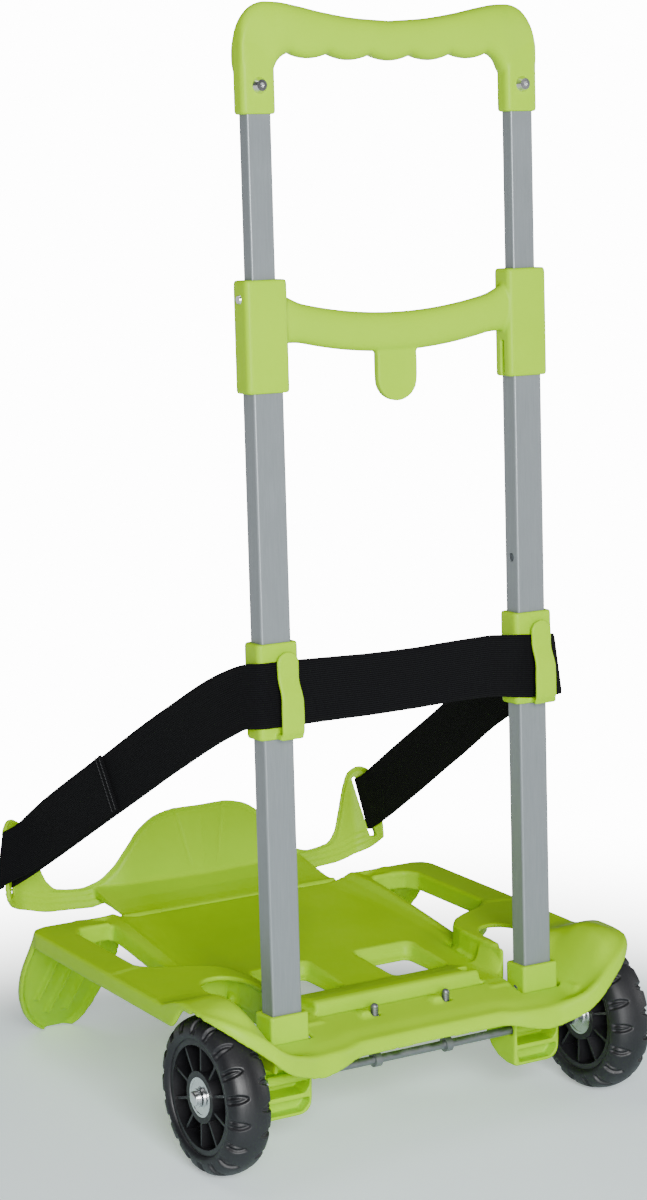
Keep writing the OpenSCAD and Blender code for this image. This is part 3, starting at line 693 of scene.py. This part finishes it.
def build_axle_box(s):
    """socket round the tube's foot, with the open box under it that holds the axle"""
    parts = [tube_loft([[(x, y, z) for x, y in rrect(28.6 - k, 21.4 - k, 2.0)] for z, k in ((-10, 0), (31.0, 0), (32.0, 1.0))], s, 66)]
    rings = []
    for y, zb, zt, k in ((-6.6, 28.6, 70, 0.8), (-5.4, 27.6, 70, 0), (4, 27.2, 70, 0), (14, 29.5, 70, 0), (22, 34, 70, 0.2), (28, 41, 69.5, 0.6), (32, 49, 68.5, 1.2), (34.4, 58, 67, 2.2)):
        w = 18.7 - k
        r = []
        for px, pz, q in ((-w, zt, 1.2), (-w, zb, 3.0), (w, zb, 10.5), (w, zt, 1.2)):
            r.append((px, pz, q))
        pts = []
        for i in range(4):
            b = np.array(r[i][:2]); u = np.array(r[i - 1][:2]) - b; v = np.array(r[(i + 1) % 4][:2]) - b
            lu, lv = np.linalg.norm(u), np.linalg.norm(v)
            q = min(r[i][2], lu * 0.45, lv * 0.45)
            e0, e1 = b + u / lu * q, b + v / lv * q
            for j in range(9):
                t = j / 8
                pts.append((1 - t) ** 2 * e0 + 2 * t * (1 - t) * b + t * t * e1)
        rings.append([(s * TH - 0.6 + x, y, z) for x, z in pts])
    parts.append(loft(rings))
    o = join("axle_box_" + ("left" if s < 0 else "right"), parts)
    remesh(o, 0.7)
    c0 = s * TH - 0.6
    cuts = [tube_loft([[(x, y, z) for x, y in rrect(22.4, 14.7, 1.5)] for z in (-2, 60)], s, 66)]
    # upper and lower chambers, open at the back, with a ledge left across
    for z0, z1, w0, w1, dp in ((42.6, 63.5, 16.6, 16.6, 15.5), (30.2, 39.4, 14.6, 16.6, 9)):
        ring = [(c0 - w0, z0), (c0 + w0 - 3, z0), (c0 + w1, z0 + 5), (c0 + w1, z1), (c0 - w1, z1)]
        ring = [tuple(p) for p in round_poly(ring, 1.6, 4)]
        cuts.append(loft([[(x, y, z) for x, z in ring] for y in (-20, -6.6 + dp)]))
    cuts.append(loft([[(x, 3.7 * math.cos(t), AXZ + 3.7 * math.sin(t)) for t in np.linspace(0, 2 * math.pi, 20, endpoint=False)] for x in (s * TH - 40, s * TH + 40)]))
    cut(o, cuts)
    remesh(o, 0.6)
    relax(o, 5)
    return done(o, "base", "green_plastic", GREEN, "tube_foot_" + ("left" if s < 0 else "right"))


for s in (-1, 1):
    build_axle_box(s)

# ---------------------------------------------------------------- cradle
cr_top = table([(0, 160), (20, 160), (36, 157), (50, 149), (62, 136), (74, 122), (86, 113), (100, 109.5), (116, 111), (124, 118), (130, 134), (136, 152), (142, 163), (150, 167), (156, 164), (160, 156)])
cr_bot = table([(0, 100), (80, 97), (92, 94.5), (120, 95), (140, 99), (152, 104), (160, 113)])
cr_yb = table([(0, 276), (60, 280), (90, 287), (120, 291.5), (140, 291.5), (152, 286), (160, 277)])


def build_cradle():
    nx, nz = ((361, 81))
    X = np.linspace(-159.8, 159.8, nx)
    U = np.linspace(0, 1, nz)
    A = np.abs(X)
    B, T = cr_bot(A), cr_top(A)
    Z = B[:, None] + (T - B)[:, None] * U[None, :]
    Y = cr_yb(A)[:, None] + (Z - 100) * 0.17
    G = np.stack([np.repeat(X[:, None], nz, 1), Y, Z], -1)
    N = grid_normals(G)
    if N[nx // 2, nz // 2, 1] > 0:
        N = -N
    # distance to the top edge and moulded grooves
    dT = (T[:, None] - Z)
    h = np.zeros_like(Z)
    arm = ss(74, 92, A)[:, None]
    for k in range(3):
        h += -0.9 * np.exp(-((Z - B[:, None] - 4.6 - 4.4 * k) / 0.9) ** 2) * np.maximum(arm, 0.15)
    slope = np.hypot(1, np.gradient(T, X))[:, None]
    h += -0.7 * np.exp(-((dT / slope - 3.6) / 0.8) ** 2)
    cu = np.abs(X)[:, None] - (8 + 0.35 * (Z - 100) * 0.6)
    h += -0.6 * np.exp(-(cu / 0.9) ** 2) * (A[:, None] < 60) * ss(112, 120, Z)
    lip = 1.3 * np.exp(-((dT / slope) / 1.6) ** 2)
    G = G + N * (h + lip)[..., None]
    v, f = shell(G, N, 3.2)
    parts = [(v, f)]
    # root plate
    rings = []
    for x in np.linspace(-88, 88, 23):
        a = abs(x)
        y1 = float(cr_yb(a)) + 1.2
        rings.append([(x, 238.4, 96.8), (x, 237.1, 99.6), (x, 240, 100.5), (x, 250, 101.6), (x, 264, 104.2), (x, y1, 109.0), (x, y1 + 1.5, 101.5), (x, 262, 99.9), (x, 248, 98.4)])
    parts.append(loft(rings))
    o = join("cradle_flap", parts)
    for s in (-1, 1):
        kn = []
        x0, x1 = (60, 90)
        kn = [[(s * x, 240 + 4.6 * math.cos(t), 96.4 + 4.6 * math.sin(t)) for t in np.linspace(0, 2 * math.pi, 24, endpoint=False)] for x in (60, 61, 89, 90)]
        k = join("kn", [loft(kn)])
        bm = bmesh.new(); bm.from_mesh(o.data); bm.from_mesh(k.data); bm.to_mesh(o.data); bm.free()
        bpy.data.objects.remove(k)
    remesh(o, 0.95)
    cuts = []
    for s in (-1, 1):
        ring = rrect(4.2, 46, 2.0)
        rings = [[(s * (150.5 + q[0] - q[1] * 0.2), y, 135.5 + q[1]) for q in ring] for y in (262, 320)]
        cuts.append(loft(rings))
    cut(o, cuts)
    relax(o, 4)
    return done(o, "cradle", "green_plastic", GREEN, "cradle")


build_cradle()


# ---------------------------------------------------------------- handle
grip_top = table([(0, 729.5), (25, 731), (50, 734.5), (70, 738.5), (84, 740.6), (92, 740.8), (100, 738.6), (106, 733.6), (110.5, 725.5), (112.3, 715)])


def build_grip():
    parts = []
    for s in (-1, 1):
        rings = []
        for z in (0, 0.6, 1.6, 6, 20, 36, 42):
            k = 1.2 if z == 0 else (0.5 if z == 0.6 else 0)
            rings.append([(x, y, z) for x, y in rrect(24.6 - k, 14 - k, 3.8)])
        parts.append(tube_loft(rings, s, 671.7))
    X = np.linspace(-112, 112, 141)
    n = 36
    rings = []
    for x in X:
        a = abs(x)
        t = float(grip_top(a))
        # finger waves
        b = 707.9 + 2.2 * (a / 76) ** 2 - 3.5 * abs(math.cos(math.pi * x / 31.0)) ** 0.85
        if a > 72:
            q = min(a, 87.6) - 72
            b2 = 709.4 - 15.8 + math.sqrt(max(15.8 ** 2 - q * q, 0))
            b = b + (b2 - b) * float(ss(72, 76, a))
        h, mz = (t - b) / 2, (t + b) / 2
        w = 9.2 - 2.2 * float(ss(80, 112, a))
        yy = ty(705) + 0.4 + (t - 705) * 0.02
        r = []
        for k in range(n):
            q = 2 * math.pi * k / n
            c, s2 = math.cos(q), math.sin(q)
            r.append((x, yy + w * math.copysign(abs(c) ** 0.8, c), mz + h * math.copysign(abs(s2) ** 0.75, s2)))
        rings.append(r)
    parts.append(loft(rings))
    o = join("grip_moulding", parts)
    remesh(o, 0.9)
    cuts = []
    for s in (-1, 1):
        rings = []
        for r, z in ((5.9, 5.7), (6.6, 9.0)):
            rings.append([on_tube((r * math.cos(t), -z, 0), s, 689.2)[0] for t in np.linspace(0, 2 * math.pi, 32, endpoint=False)])
        cuts.append(loft(rings))
    cut(o, cuts)
    remesh(o, 0.85)
    relax(o, 5)
    return done(o, "handle", "green_plastic", GREEN, "grip")


build_grip()


def build_yoke():
    parts = []
    for s in (-1, 1):
        rings = []
        for z, k in ((0, 1.2), (0.7, 0.4), (2, 0), (30, 0), (68, 0.1), (70, 0.5), (71, 1.6)):
            rings.append([(x, y, z) for x, y in rrect(30.8 - k, 18.5 - k, 3.4)])
        parts.append(tube_loft(rings, s, 499))
    rings = []
    n = 32
    for x in np.linspace(-89, 89, 61):
        sag = 12 * (1 - (abs(x) / 86) ** 2)
        z = 545 - sag
        hh = 12.6 + 3.2 * float(ss(70, 90, abs(x)))
        r = []
        for k in range(n):
            q = 2 * math.pi * k / n
            c, s2 = math.cos(q), math.sin(q)
            r.append((x, ty(536) + 7.4 * math.copysign(abs(c) ** 0.85, c), z + hh * math.copysign(abs(s2) ** 0.85, s2)))
        rings.append(r)
    parts.append(loft(rings))
    # tongue
    P = [(-15.2, 530)] + [(15.2 * math.cos(t), 503.5 + 15.2 * math.sin(t)) for t in np.linspace(math.pi, 2 * math.pi, 17)] + [(15.2, 530)]
    rings = [[(x, y + (z - 515) * math.tan(LEAN), z) for x, z in P] for y in (ty(515) - 3, ty(515) + 3)]
    parts.append(loft(rings))
    o = join("yoke_moulding", parts)
    remesh(o, 0.9)
    cuts = []
    for s in (-1, 1):
        cuts.append(tube_loft([[(x, y, z) for x, y in rrect(22.3, 14.6, 1.4)] for z in (-2, 64.5)], s, 499))
        cuts.append(tube_loft([[(x, y, z) for x, y in rrect(18.4, 11.4, 1.4)] for z in (60, 80)], s, 499))
        cuts.append(tube_loft([[(-s * 14 + x, y, z) for x, y in rrect(7.4, 3.4, 1.2)] for z in (-2, 24)], s, 499))
    cut(o, cuts)
    remesh(o, 0.75)
    relax(o, 5)
    return done(o, "base", "green_plastic", GREEN, "yoke")


build_yoke()


def build_clip(s):
    parts = []
    rings = []
    for z, k in ((-31, 1.4), (-30.4, 0.5), (-29, 0), (0, 0), (29, 0), (30.4, 0.5), (31, 1.4)):
        rings.append([(x, y, z) for x, y in rrect(30.2 - k, 19.7 - k, 3.6)])
    parts.append(tube_loft(rings, s, CLZ))
    rings = []
    for z in list(np.linspace(-30.8, 22, 30)) + [24, 26, 27.6, 28.8, 29.7, 30.2]:
        w = 8.4 - 0.7 * float(ss(-14, 4, z)) + 0.3 * float(ss(8, 20, z))
        if z > 21.5:
            w = 8.0 * math.sqrt(max(0.06, 1 - ((z - 21.5) / 8.9) ** 2))
        y = -17.6 + 3.6 * float(ss(-7, 13, z)) + 2.2 * float(1 - ss(-31, -25, z))
        t = 1.5 - 0.4 * float(ss(24, 30, z))
        cx = 3.8 + 0.8 * float(1 - ss(-6, 8, z))
        r = []
        for k in range(20):
            q = 2 * math.pi * k / 20
            c, q2 = math.cos(q), math.sin(q)
            r.append((cx - (1.4 if s > 0 else 0) + w * math.copysign(abs(c) ** 0.45, c), y + t * math.copysign(abs(q2) ** 0.6, q2), z if z < 0 else z * 0.84))
        rings.append(r)
    parts.append(loft([on_tube([(x if s > 0 else x, y, z) for x, y, z in r], s, CLZ) for r in rings]))
    rings = []
    for y in (-6, -11, -14, -16.2):
        rings.append([(4.2 + x, y, z - 28.9) for x, z in rrect(16.6, 4.0, 1.6)])
    parts.append(loft([on_tube(r, s, CLZ) for r in rings]))
    o = join("strap_hook_" + ("left" if s < 0 else "right"), parts)
    remesh(o, 0.6)
    cut(o, [tube_loft([[(x, y, z) for x, y in rrect(22.4, 14.7, 1.5)] for z in (-40, 40)], s, CLZ)])
    remesh(o, 0.6)
    relax(o, 5)
    return done(o, "base", "green_plastic", GREEN, "strap_clip_" + ("left" if s < 0 else "right"))


# ---------------------------------------------------------------- wheels
def wheel_pt(s, r, th, w):
    """w: offset from the wheel's middle plane, positive outwards"""
    return (s * (WO - WW / 2 + w), r * math.cos(th), AXZ + r * math.sin(th))


def build_tyre(s):
    prof = [(37.6, -13), (38.6, -14.2), (40.4, -15.0), (42.4, -15.1), (44.0, -14.7), (46.0, -14.0), (48.2, -12.6), (49.8, -10.6), (50.9, -8.2), (51.7, -5.2), (52.2, -2), (52.3, 0)]
    prof = prof + [(r, -w) for r, w in prof[-2::-1]]
    R0 = np.array(prof)
    d = np.r_[0, np.cumsum(np.hypot(*np.diff(R0, axis=0).T))]
    t = np.linspace(0, d[-1], 84)
    r = np.interp(t, d, R0[:, 0]); w = np.interp(t, d, R0[:, 1])
    for _ in range(2):
        r[1:-1] = (r[:-2] + 2 * r[1:-1] + r[2:]) / 4
        w[1:-1] = (w[:-2] + 2 * w[1:-1] + w[2:]) / 4
    n = 720
    TH2 = np.linspace(0, 2 * math.pi, n, endpoint=False)
    Rr = np.repeat(r[None, :], n, 0)
    Ww = np.repeat(w[None, :], n, 0)
    nr = np.gradient(w); nw = -np.gradient(r)
    ln = np.hypot(nr, nw); nr, nw = nr / ln, nw / ln
    if nr[len(r) // 2] < 0:
        nr, nw = -nr, -nw
    arc = t - d[-1] / 2          # distance across the tread, millimetres
    depth = np.zeros_like(Rr)
    P = 18
    for sg in (-1, 1):
        for k in range(P):
            ph = 2 * math.pi * (k + (0.25 if sg > 0 else -0.25)) / P
            dth = (TH2 - ph + math.pi) % (2 * math.pi) - math.pi
            xs = dth * 50.0                       # along the tyre, mm
            a = sg * arc                          # from the crown outwards
            # sickle: region between two arcs, opening on the shoulder
            u = (a - 4.0) / 14.5                  # 0 at the tip, 1 at the shoulder
            half = 5.6 * np.sqrt(np.clip(u, 0, 1)) * (1 - 0.35 * np.clip(u, 0, 1))
            inside = (u[None, :] > 0) & (u[None, :] < 1.15) & (np.abs(xs)[:, None] < half[None, :] + 0.01)
            edge_d = half[None, :] - np.abs(xs)[:, None]
            g = 2.0 * np.clip(edge_d / 0.7, 0, 1) * np.clip((1.15 - u[None, :]) / 0.2, 0, 1)
            g *= 0.25 + 0.75 * np.clip(1.25 - np.abs(edge_d - 1.6) / 1.9, 0, 1)
            depth = np.maximum(depth, np.where(inside, g, 0))
    Rr = Rr - depth * nr[None, :]
    Ww = Ww - depth * nw[None, :]
    C, S = np.cos(TH2)[:, None], np.sin(TH2)[:, None]
    G = np.stack([s * (WO - WW / 2 + Ww), Rr * C, AXZ + Rr * S], -1)
    m, k = G.shape[:2]
    V = G.reshape(-1, 3)
    F = []
    idx = np.arange(m * k).reshape(m, k)
    nx = np.roll(idx, -1, axis=0)
    q = np.stack([idx[:, :-1], nx[:, :-1], nx[:, 1:], idx[:, 1:]], -1).reshape(-1, 4)
    F = [tuple(a) for a in q] + [(idx[i, -1], nx[i, -1], nx[i, 0], idx[i, 0]) for i in range(m)]
    name = "left" if s < 0 else "right"
    o = new_obj("tyre_tread_" + name, V, F)
    return done(o, "wheel_" + name, "tyre_rubber", TYRE, "tyre_" + name)


for s in (-1, 1):
    build_tyre(s)


def ribbon(name, P, W, t, uvlen=True, nx=240, ny=17, wave=0.25, edge_round=True):
    """P: path points, W: half-width vectors, both in cart mm, resampled smoothly"""
    P = np.asarray(P, float); W = np.asarray(W, float)
    d = np.r_[0, np.cumsum(np.linalg.norm(np.diff(P, axis=0), axis=1))]
    f = [table(list(zip(d, P[:, k]))) for k in range(3)]
    g = [table(list(zip(d, W[:, k]))) for k in range(3)]
    tt = np.linspace(0, d[-1], nx)
    C = np.stack([q(tt) for q in f], -1)
    Hh = np.stack([q(tt) for q in g], -1)
    for _ in range(10):
        C[1:-1] = 0.5 * C[1:-1] + 0.25 * (C[2:] + C[:-2])
        Hh[1:-1] = 0.5 * Hh[1:-1] + 0.25 * (Hh[2:] + Hh[:-2])
    v = np.linspace(-1, 1, ny)
    G = C[:, None, :] + Hh[:, None, :] * v[None, :, None]
    N = grid_normals(G)
    L = np.r_[0, np.cumsum(np.linalg.norm(np.diff(C, axis=0), axis=1))]
    hw = np.linalg.norm(Hh, axis=1)
    ripple = wave * (np.sin(L[:, None] / 17.0 + 1.3) * v[None, :] + 0.6 * np.sin(L[:, None] / 9.0) * (1 - v[None, :] ** 2))
    G = G + N * ripple[..., None]
    th = t * (1 - 0.55 * np.clip((np.abs(v) - 0.93) / 0.07, 0, 1) ** 2) if edge_round else t * np.ones(ny)
    A = G + N * (th / 2)[None, :, None]
    B = G - N * (th / 2)[None, :, None]
    m, k = G.shape[:2]
    V = np.vstack([A.reshape(-1, 3), B.reshape(-1, 3)])
    idx = np.arange(m * k).reshape(m, k)
    q = np.stack([idx[:-1, :-1], idx[1:, :-1], idx[1:, 1:], idx[:-1, 1:]], -1).reshape(-1, 4)
    F = [tuple(r) for r in q] + [tuple(r[::-1] + m * k) for r in q]
    bd = list(idx[:, 0]) + list(idx[-1, 1:]) + list(idx[-2::-1, -1]) + list(idx[0, -2:0:-1])
    for i in range(len(bd)):
        a, b = bd[i], bd[(i + 1) % len(bd)]
        F.append((a, b, b + m * k, a + m * k))
    o = new_obj(name, V, F)
    uv = o.data.uv_layers.new(name="mm")
    U = np.stack([np.repeat(L[:, None], k, 1), hw[:, None] * v[None, :]], -1).reshape(-1, 2)
    U = np.vstack([U, U])
    li = np.zeros(len(o.data.loops), np.int32)
    o.data.loops.foreach_get("vertex_index", li)
    uv.data.foreach_set("uv", U[li].astype(np.float32).ravel())
    return o




def build_straps():
    X = np.array([-97, -80, -60, -30, 0, 30, 60, 80, 97.0])
    rise = table([(-97, -1.2), (-60, -1.8), (-30, -2.4), (0, -2.3), (30, -1.4), (53, -0.9), (80, -3.2), (97, -5.1)])
    P = [(x, CY - 0.2, CLZ + float(rise(x))) for x in X]
    W = [(0, math.sin(LEAN) * SW, math.cos(LEAN) * SW * (1 - 0.06 * (1 - (x / 97) ** 2))) for x in X]
    o = ribbon("strap_run_centre", P, W, 1.6)
    done(o, "base", "black_webbing", WEB, "strap_centre")
    for s, name in ((-1, "left"), (1, "right")):
        if s > 0:
            P = [(97.2, CY - 0.2, CLZ - 5.1), (112, CY - 0.2, CLZ - 5.8), (119.5, CY + 1.4, CLZ - 6.4), (122.4, CY + 8, CLZ - 7.2), (122.2, CY + 24, CLZ - 12)]
        else:
            P = [(97.2, CY - 0.2, CLZ - 1.2), (112, CY - 0.2, CLZ - 1.2), (116.6, CY + 2, CLZ - 1.4), (119, CY + 9, CLZ - 2.2), (122, CY + 26, CLZ - 9)]
        P += [ (129, 90, 266), (138, 160, 222), (146, 230, 178), (149.6, 272, 151), (150.4, 287, 141.5), (150.6, 298.5, 136.5)]
        if s > 0:
            P += [(152.6, 300.4, 136), (156.5, 297.2, 137), (160, 292.4, 138)]
        W = []
        for i in range(len(P)):
            if i < 4:
                w = np.array([-0.15 * float(ss(0, 2, i)) if s > 0 else 0, math.sin(LEAN), math.cos(LEAN)])
            else:
                w = np.array([0.02 - 0.21 * float(ss(6, 9, i)), 0.62 * float(ss(3, 6, i)) - 0.50 * float(ss(6, 9, i)), 0.9])
            W.append(w / np.linalg.norm(w) * SW * 0.98 * np.array([s, 1, 1]))
        P = [(s * x, y, z) for x, y, z in P]
        o = ribbon("strap_run_" + name, P, W, 1.6)
        strap_blend(o, s, "strap_" + name)
    # hook-and-loop tail on the left: round the petal's outer post and back over the run
    P = [(-140.4, 160.6, 222.6), (-148.3, 230.6, 178.6), (-152.4, 262, 158.2), (-157.4, 274.5, 149.5), (-162.2, 280.8, 144.5), (-164.6, 285.2, 141.8), (-162.6, 289.4, 139.8), (-157.8, 294.8, 138.2), (-152.6, 299.6, 137.2)]
    W = []
    for i in range(len(P)):
        k = min(i, 6) / 6
        w = np.array([-(0.02 - 0.21 * float(ss(0, 0.6, k))), 0.62 - 0.52 * float(ss(0, 0.6, k)), 0.9])
        W.append(w / np.linalg.norm(w) * SW * 0.96)
    o = ribbon("strap_tail", P, W, 1.5, wave=0.15)
    strap_blend(o, -1, "strap_end_pad")
    # hem and two rows of stitches at the tail's end
    c = np.array(P[0]); d = np.array(P[1]) - c; d /= np.linalg.norm(d)
    w = W[0] / np.linalg.norm(W[0]); nrm = np.cross(d, w); nrm /= np.linalg.norm(nrm)
    if nrm[0] > 0:
        nrm = -nrm
    parts = []
    for row in (1.6, 6.2):
        for k in range(15):
            t = -19.0 + k * 2.71
            a = c + d * row + w * t + nrm * 0.95
            b = a + w * 1.8
            parts.append(sweep([a - nrm * 0.5, a + nrm * 0.12, (a + b) / 2 + nrm * 0.28, b + nrm * 0.12, b - nrm * 0.5], 0.3, 6))
    o = join("tail_stitches", parts)
    o.data.polygons.foreach_set("use_smooth", [True] * len(o.data.polygons))
    paint(o, THREAD)
    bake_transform(o)


def strap_blend(o, s, *repl):
    paint(o, WEB)
    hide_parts(*repl)
    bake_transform(o)


build_straps()
for s in (-1, 1):
    build_clip(s)

# ---------------------------------------------------------------- stage
def build_stage():
    me = bpy.data.meshes.new("floor")
    s = 30.0
    me.from_pydata([(-s, -s, -0.0004), (s, -s, -0.0004), (s, s, -0.0004), (-s, s, -0.0004)], [], [(0, 1, 2, 3)])
    o = bpy.data.objects.new("floor", me)
    bpy.context.scene.collection.objects.link(o)
    m = bpy.data.materials.new("studio_floor")
    m.use_nodes = True
    nt = m.node_tree
    nt.nodes.clear()
    out = node(nt, "ShaderNodeOutputMaterial")
    b = node(nt, "ShaderNodeBsdfPrincipled")
    b.inputs["Roughness"].default_value = 0.55
    b.inputs["Specular IOR Level"].default_value = 0.25
    em = node(nt, "ShaderNodeEmission")
    em.inputs["Color"].default_value = (1, 1, 1, 1)
    lpf = node(nt, "ShaderNodeLightPath")
    nt.links.new(mapr(nt, lpf.outputs["Is Camera Ray"], 0.9, 14.0, 0.0, 1.0), em.inputs["Strength"])
    tc = node(nt, "ShaderNodeTexCoord")
    mp = node(nt, "ShaderNodeMapping")
    mp.inputs["Location"].default_value = (0.10, 0.22, 0)
    nt.links.new(tc.outputs["Object"], mp.inputs["Vector"])
    ln = node(nt, "ShaderNodeVectorMath", operation="LENGTH")
    nt.links.new(mp.outputs[0], ln.inputs[0])
    f = mapr(nt, ln.outputs["Value"], 0.022, 1.0, 0.42, 0.95)
    f.node.interpolation_type = "SMOOTHSTEP"
    # painted shade: the floor's base colour is darker and bluer near the cart, fading to near white further out
    c = ramp(nt, f, [(0.0, (0.80, 0.965, 0.99)), (1.0, (0.98, 0.99, 1.0))])
    nt.links.new(c, b.inputs["Base Color"])
    mx = node(nt, "ShaderNodeMixShader")
    nt.links.new(f, mx.inputs[0])
    nt.links.new(b.outputs[0], mx.inputs[1])
    nt.links.new(em.outputs[0], mx.inputs[2])
    nt.links.new(mx.outputs[0], out.inputs[0])
    me.materials.append(m)
    w = bpy.data.worlds.new("studio")
    bpy.context.scene.world = w
    w.use_nodes = True
    wt = w.node_tree
    bg = wt.nodes["Background"]
    bg.inputs[0].default_value = (1, 1, 1, 1)
    bg.inputs[1].default_value = 14.0
    dim = node(wt, "ShaderNodeBackground")
    dim.inputs[0].default_value = (0.93, 0.97, 1, 1)
    dim.inputs[1].default_value = 0.1
    lp = node(wt, "ShaderNodeLightPath")
    mx = node(wt, "ShaderNodeMixShader")
    wt.links.new(lp.outputs["Is Camera Ray"], mx.inputs[0])
    wt.links.new(dim.outputs[0], mx.inputs[1])
    wt.links.new(bg.outputs[0], mx.inputs[2])
    wt.links.new(mx.outputs[0], wt.nodes["World Output"].inputs[0])

    def area(name, loc, target, size, power, size_y=None):
        l = bpy.data.lights.new(name, "AREA")
        l.energy = power
        l.size = size
        if size_y:
            l.shape = "RECTANGLE"
            l.size_y = size_y
        ob = bpy.data.objects.new(name, l)
        bpy.context.scene.collection.objects.link(ob)
        ob.location = loc
        ob.rotation_euler = (Vector(target) - Vector(loc)).to_track_quat("-Z", "Y").to_euler()
        return ob
    area("key", (-0.9, -2.3, 1.0), (0, 0, 0.62), 1.2, 112)
    area("top", (-0.6, 0.3, 2.3), (0, 0, 0.2), 1.2, 9)
    area("fill", (2.1, -1.0, 0.8), (0, 0, 0.35), 1.0, 14)


build_stage()


def build_camera():
    C = Vector((-1.01303, (-1515.91 - YC) / 1000, 0.69733))
    yaw, pitch, roll = math.radians(31.926), math.radians(10.488), math.radians(-0.155)
    d = Vector((math.sin(yaw) * math.cos(pitch), math.cos(yaw) * math.cos(pitch), -math.sin(pitch)))
    r = Vector((math.cos(yaw), -math.sin(yaw), 0))
    u = r.cross(d)
    r2 = r * math.cos(roll) + u * math.sin(roll)
    u2 = -r * math.sin(roll) + u * math.cos(roll)
    M = Matrix((r2, u2, -d)).transposed().to_4x4()
    M.translation = C
    cam = bpy.data.cameras.new("camera")
    cam.lens = 85.51
    cam.sensor_width = 36
    cam.sensor_height = 36
    cam.sensor_fit = "AUTO"
    cam.clip_start = 0.05
    cam.clip_end = 100
    o = bpy.data.objects.new("camera", cam)
    bpy.context.scene.collection.objects.link(o)
    o.matrix_world = M
    bpy.context.scene.camera = o


build_camera()
